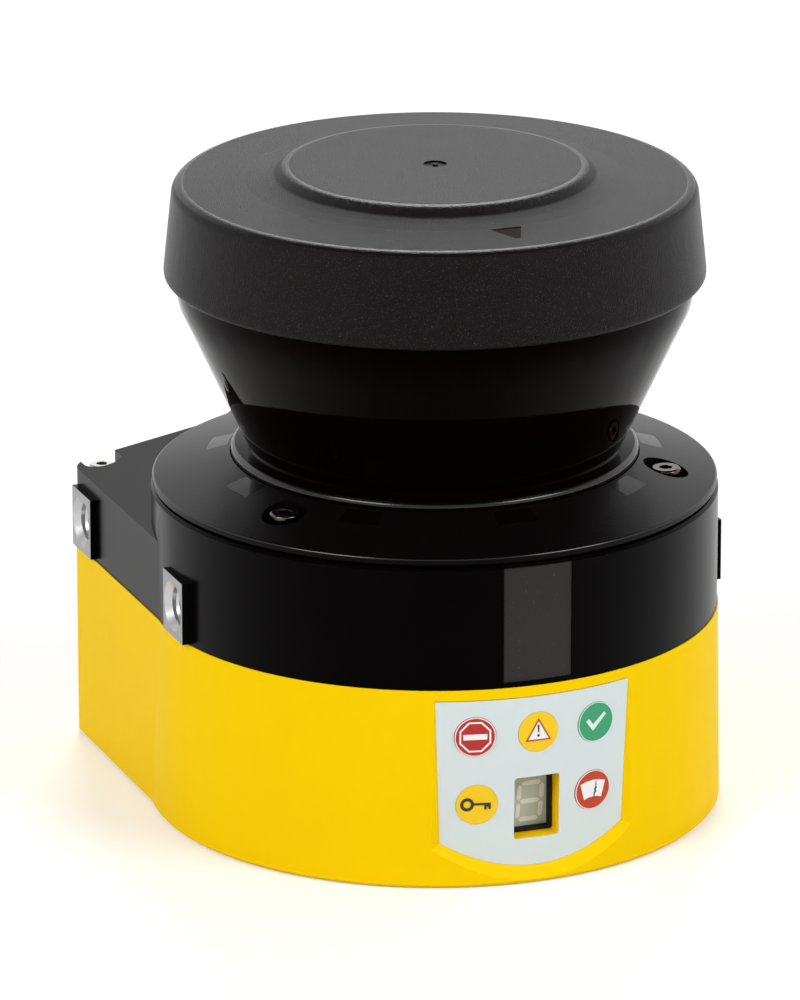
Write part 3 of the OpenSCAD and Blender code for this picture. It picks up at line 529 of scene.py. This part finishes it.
def thicken(shape, name, thick, finish):
    """Makes a plate of a flat shape, so many millimetres thick, and gives it its finish."""
    shape.name = shape.data.name = name
    bpy.ops.object.mode_set(mode="EDIT")
    bpy.ops.mesh.select_all(action="SELECT")
    bpy.ops.mesh.extrude_region_move(TRANSFORM_OT_translate={"value": (0, 0, thick / 1000)})
    bpy.ops.mesh.select_all(action="SELECT")
    bpy.ops.mesh.normals_make_consistent(inside=False)
    finish_with(shape, finish)


cap = copy_of("top_cap", "cap_moulding", flats=0)
# the plateau's edge is rounded softly, and its foot runs out into the brim in a wide hollow
for old_r, old_z, new_r, new_z in (
        (26.2, 2.9, 24.9, 2.9), (26.45, 2.874, 25.6, 2.865), (26.69, 2.796, 26.2, 2.78),
        (26.91, 2.671, 26.65, 2.65), (27.09, 2.503, 27.05, 2.4), (28.9, 0.5, 28.25, 1.27),
        (29.6, 0.12, 30.4, 0.8), (30.4, 0, foot_end, foot_rise)):
    move_ring(cap, old_r, brim_z + old_z, new_r, brim_z + new_z)
# the brim falls a little towards its rim, and takes the triangular recess with it
mesh = bmesh.from_edit_mesh(cap.data)
for v in mesh.verts:
    m = v.co * 1000
    if foot_end + 0.1 < m.xy.length < brim_r and -0.35 < m.z - brim_z < 0.05:
        v.co.z += brim_slope * (brim_r - m.xy.length) / 1000
bmesh.update_edit_mesh(cap.data)
# the rings of the plateau become whole faces, and their creases are rounded
bpy.ops.mesh.select_mode(type="FACE")
bpy.ops.mesh.select_all(action="DESELECT")
mesh = bmesh.from_edit_mesh(cap.data)
for face in mesh.faces:
    face.select = all(v.co.z * 1000 > brim_z + 0.35 and v.co.xy.length * 1000 > plateau_r
                      for v in face.verts)
bmesh.update_edit_mesh(cap.data)
bpy.ops.mesh.dissolve_limited(angle_limit=math.radians(0.03))
pick_edges(cap, lambda m: any(abs(m.xy.length - r) < 0.08 and abs(m.z - brim_z - z) < 0.1
                              for r, z in hollow), 3)
round_off(0.7, 3)
finish_with(cap, coat("cap_plastic", (0.0045, 0.003, 0.003), 0.3, 4400, 0.9, 0.1,
                      specular=0.11, gleam=0.7, fleck=0.05),
            coat("cap_edge", (0.005, 0.004, 0.004), 0.25, 4400, 0.4, 0.1, specular=0.2))
set_finish(cap, 1, lambda m, face: m.z > brim_z - 0.6 and face.normal.z > 0.4
           and (worn_inner < m.xy.length < worn_outer or m.xy.length > worn_rim))
shade_curves(35)
true_cone(cap, foot_end - 0.1, brim_r + 0.05)
true_cone(cap, -1, plateau_flat)

mark = flat_shape(mark_outline)
bpy.ops.object.mode_set(mode="EDIT")
bpy.ops.mesh.select_all(action="SELECT")
bpy.ops.mesh.bevel(offset=0.0003, segments=3, affect="VERTICES")
thicken(mark, "field_mark", mark_thick,
        coat("mark_gloss", (0.012, 0.009, 0.008), 0.2, 500, 0.01, specular=0.008))
mark_z = brim_z - mark_depth + brim_slope * (brim_r + mark_y)
set_down(mark, Matrix.Translation((0, mark_y / 1000, mark_z / 1000))
         @ Matrix.Rotation(math.atan(brim_slope), 4, "X"))

# ---- Status panel ----------------------------------------------------------------
# A pale grey film stuck in the recess, with five clear-coated lenses. Signs are printed
# on the lenses as thin raised layers of ink. The lens faces lean back a little.
lens_lean, lens_face, ink_thick = math.radians(91.49), 0.415, 0.04
first_layer, second_layer = 0.02, 0.05


def join(shapes):
    """Joins shapes to one piece."""
    bpy.ops.object.select_all(action="DESELECT")
    for shape in shapes:
        shape.select_set(True)
    bpy.context.view_layer.objects.active = shapes[0]
    if len(shapes) > 1:
        bpy.ops.object.join()
    return bpy.context.object


def print_on(lens, name, colour, *shapes, layer=first_layer):
    """Gives shapes the thickness of ink and sets them on a lens, so many millimetres up."""
    sign = join(shapes)
    thicken(sign, name, ink_thick, ink[colour])
    lens_low, lens_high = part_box(lens)
    middle = (lens_low + lens_high) / 2
    set_down(sign, Matrix.Translation(middle)
             @ Matrix.Rotation(math.atan2(middle.x, -middle.y), 4, "Z")
             @ Matrix.Rotation(lens_lean, 4, "X")
             @ Matrix.Translation((0, 0, (lens_face + layer) / 1000)))


def polygon(sides, radius, turn=0.0, x=0.0, y=0.0):
    """Corners of a regular polygon round a middle."""
    return [(x + radius * math.cos(turn + 2 * math.pi * i / sides),
             y + radius * math.sin(turn + 2 * math.pi * i / sides)) for i in range(sides)]


dress(coat("panel_print", (0.64, 0.71, 0.705), 0.42, 1500, 0.02, 0.01, specular=0.3), "panel_film")
for name, colour, *lenses in (
        ("stop_red", (0.46, 0.022, 0.018), "stop_lens"),
        ("signal_yellow", (0.9, 0.57, 0.004), "warning_lens", "restart_lens"),
        ("clear_green", (0.035, 0.33, 0.155), "clear_lens"),
        ("service_red", (0.5, 0.045, 0.012), "service_lens")):
    dress(coat(name, colour, 0.3, tint=0.02, specular=0.3), *lenses)
ink = {name: coat(f"ink_{name}", colour, 0.4, tint=0.01) for name, colour in (
    ("white", (0.85, 0.84, 0.84)), ("rim", (0.86, 0.66, 0.62)),
    ("pale_green", (0.66, 0.84, 0.74)), ("black", (0.02, 0.012, 0.01)),
    ("border", (0.45, 0.045, 0.015)))}
stop_low, stop_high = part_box("stop_lens")
rim = polygon(72, 500 * (stop_high.z - stop_low.z) - 0.03)
# stop: an octagon with a plain bar
print_on("stop_lens", "stop_sign", "white", flat_shape(polygon(8, 3.0, math.pi / 8), 0.3),
         flat_shape([(-2.1, -0.5), (2.1, -0.5), (2.1, 0.5), (-2.1, 0.5)]))
print_on("stop_lens", "stop_rim", "rim", flat_shape(rim, 0.22))
# warning: a triangle with an upright mark
print_on("warning_lens", "warning_border", "border",
         flat_shape([(-2.35, -1.6), (2.35, -1.6), (0, 2.5)], 0.26), layer=second_layer)
print_on("warning_lens", "warning_field", "white",
         flat_shape([(-2.2, -1.5), (2.2, -1.5), (0, 2.35)]))
print_on("warning_lens", "warning_mark", "black",
         flat_shape([(-0.11, -0.05), (0.11, -0.05), (0.19, 1.3), (-0.19, 1.3)]),
         flat_shape(polygon(20, 0.24, y=-0.65)), layer=second_layer)
# clear: a tick
print_on("clear_lens", "clear_tick", "pale_green",
         flat_shape([(-1.5, 0.82), (-0.59, -0.34), (1.72, 1.6), (2.1, 1.16), (-0.59, -1.57),
                     (-2.06, 0.33)]))
print_on("clear_lens", "clear_rim", "pale_green", flat_shape(rim, 0.14))
# restart: a key
print_on("restart_lens", "restart_key", "black",
         flat_shape(polygon(40, 1.22, x=-1.7, y=0.08), 0.56),
         flat_shape([(-0.62, -0.12), (1.3, -0.12), (1.3, -0.95), (1.72, -0.95), (1.72, -0.42),
                     (2.02, -0.42), (2.02, -0.88), (2.45, -0.88), (2.45, 0.3), (-0.62, 0.3)]))
# service: a cracked pane
print_on("service_lens", "service_pane", "white",
         flat_shape([(-1.78, -1.62), (-0.9, -1.34), (0, -1.25), (0.9, -1.34), (1.78, -1.62),
                     (2.55, 1.32), (1.4, 1.68), (0, 1.82), (-1.4, 1.68), (-2.6, 1.32)]))
print_on("service_lens", "service_crack", "black",
         flat_shape([(0.58, 1.55), (0.5, 0.35), (0.28, 0.1), (0.36, -0.45), (0.16, -0.6),
                     (0.32, -1.9), (0.44, -0.75), (0.72, -0.5), (0.62, 0.0), (0.86, 0.3),
                     (0.72, 0.55), (0.72, 1.55)]), layer=second_layer)
print_on("service_lens", "service_rim", "rim", flat_shape(rim, 0.2))

# ---- Display ---------------------------------------------------------------------
# A one-digit module with seven pale bars, slanted a little, behind a frame of black
# foam that fills the space between the module and the tub.
slant, bar_tip, bar_thick = math.tan(math.radians(5)), 0.42, 0.06
level_half, level_z = 1.85, (3.3, 0, -3.3)
upright_half, upright_x, upright_z = 1.45, (-2.1, 2.1), (1.65, -1.65)
foam_x, foam_z, foam_border, foam_thick = 4.12, 5.62, 0.5, 1.4
face_low, face_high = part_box("display_module")
face_mid = Vector((0, face_low.y - 0.00001, (face_low.z + face_high.z) / 2))
digit_shift = Vector((0.0005, 0, -0.0006))
stand_up = Matrix.Rotation(math.radians(90), 4, "X")


def bar(x, z, half, upright=False):
    """One bar of the digit, with pointed ends."""
    neck = half - bar_tip
    outline = [(-half, 0), (-neck, -bar_tip), (neck, -bar_tip), (half, 0), (neck, bar_tip),
               (-neck, bar_tip)]
    if upright:
        outline = [(-b, a) for a, b in outline]
    return flat_shape([(x + a + slant * (z + b), z + b) for a, b in outline])


dress(coat("display_grey", (0.5, 0.55, 0.5), 0.5, 1800, 0.05, 0.04), "display_module")
digit = join([bar(0, z, level_half) for z in level_z]
             + [bar(x, z, upright_half, upright=True) for z in upright_z for x in upright_x])
thicken(digit, "display_digit", bar_thick,
        coat("display_bar", (0.75, 0.8, 0.76), 0.45, 1800, 0.03, 0.05))
set_down(digit, Matrix.Translation(face_mid + digit_shift) @ stand_up)
foam = flat_shape([(-foam_x, -foam_z), (foam_x, -foam_z), (foam_x, foam_z), (-foam_x, foam_z)],
                  foam_border)
thicken(foam, "display_foam", foam_thick,
        coat("foam_black", (0.02, 0.018, 0.014), 0.95, 2400, 0.8, 0.4, specular=0.1))
set_down(foam, Matrix.Translation(face_mid) @ stand_up)

# ---- Motor and mirror ------------------------------------------------------------
# An outer-rotor motor on a machined plate in the cap: laminated stator with copper
# coils, ground shaft in two bearings, and a bell with its magnet ring. The anodised
# carrier below it holds the coated mirror, and the encoder disc turns past its reader.
black_anodised = coat("black_anodised", (0.02, 0.02, 0.022), 0.4)
black_component = coat("black_component", (0.015, 0.015, 0.017), 0.45)
dress(coat("machined_aluminium", (0.6, 0.6, 0.62), 0.3, metal=1), "motor_plate", "rotor_bell")
dress(coat("ground_steel", (0.7, 0.7, 0.72), 0.15, metal=1), "motor_bearings", "motor_shaft")
dress(coat("stator_sheet", (0.35, 0.35, 0.37), 0.4, metal=1), "motor_stator", "encoder_disc")
dress(coat("copper_wire", (0.65, 0.28, 0.1), 0.35, metal=1), "motor_coils")
dress(coat("magnet_ring", (0.08, 0.08, 0.09), 0.5), "rotor_magnet")
dress(black_anodised, "mirror_carrier")
dress(coat("mirror_coat", (0.9, 0.92, 0.94), 0.03, metal=1), "scan_mirror")
dress(black_component, "encoder_reader")

# ---- Optics ----------------------------------------------------------------------
# An anodised chassis under the mirror holds a ground glass lens, in its middle the laser
# in a turned brass tube, and the detector at the bottom. Small moulded sensors stand
# under the windows of the cover.
brass = coat("turned_brass", (0.6, 0.42, 0.14), 0.25, metal=1)
dress(black_anodised, "optics_chassis")
dress(coat("lens_glass", (0.75, 0.85, 0.9), 0.05), "receiving_lens")
dress(brass, "laser_tube", "laser_diode")
dress(black_component, "detector_diode", "dirt_sensors")

# ---- Boards ----------------------------------------------------------------------
# Glass-fibre boards with green solder resist, soldered components and brass spacers.
# Moulded clear guides lead the light of the status diodes to the lenses of the panel.
dress(coat("solder_resist", (0.01, 0.12, 0.05), 0.4),
      "status_board", "detector_board", "main_board", "power_board")
dress(coat("led_body", (0.85, 0.85, 0.8), 0.3), "status_leds")
dress(coat("clear_guide", (0.8, 0.85, 0.87), 0.2), "light_guides")
dress(black_component, "main_components", "power_components")
dress(brass, "board_spacers")

# ---- Connectors ------------------------------------------------------------------
# Turned and nickel-plated shells of the two plugs, held by nuts, with moulded inserts
# and gold-plated contacts. Each shell is narrowed to the bottom of its outer thread,
# and the thread, pitch 1 mm, is wound on it as a helix.
thread_deep, thread_length, ridge_start = 0.42, 7.5, 6.8
crest_low, crest_height, run_out = 0.45, 0.44, 14
nickel = coat("nickel_plate", (0.62, 0.6, 0.55), 0.22, metal=1)
dress(nickel, "m12_nut", "m8_nut")
dress(coat("insert_plastic", (0.015, 0.015, 0.016), 0.45), "m12_insert", "m8_insert")
dress(coat("gold_plate", (0.85, 0.6, 0.2), 0.2, metal=1), "m12_contacts", "m8_contacts")
for port, outer_r in (("m12", 6.0), ("m8", 4.0)):
    shell = copy_of(f"{port}_shell", f"{port}_turned_shell", flats=0)
    port_low, port_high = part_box(f"{port}_shell")
    axis = Vector(((port_low.x + port_high.x) / 2, 0, (port_low.z + port_high.z) / 2))
    bpy.ops.mesh.select_all(action="DESELECT")
    mesh = bmesh.from_edit_mesh(shell.data)
    for v in mesh.verts:
        out = math.hypot(v.co.x - axis.x, v.co.z - axis.z) * 1000
        v.select = v.co.y > port_high.y - thread_length / 1000 and abs(out - outer_r) < 0.05
    bmesh.update_edit_mesh(shell.data)
    narrow = (outer_r - thread_deep) / outer_r
    bpy.ops.transform.resize(value=(narrow, 1, narrow), center_override=axis)
    finish_with(shell, nickel)
    shade_curves(30)
    thread = wind(f"{port}_thread", outer_r - 0.01, ((0, 0), (-0.46, 0.46), (-0.46, -0.46)),
                  1, 6, 48)
    # the crest runs out into the shell at both ends of the ridge
    crest = list(thread.data.vertices)[::3]
    for step, v in enumerate(crest):
        height = crest_height * min(1, step / run_out, (len(crest) - 1 - step) / run_out)
        v.co.xy = v.co.xy.normalized() * (outer_r - crest_low + height) / 1000
    close_ends(thread, nickel)
    start = Vector((axis.x, port_high.y - ridge_start / 1000, axis.z))
    set_down(thread,
             Matrix.Translation(start) @ Matrix.Rotation(math.radians(-90), 4, "X"))
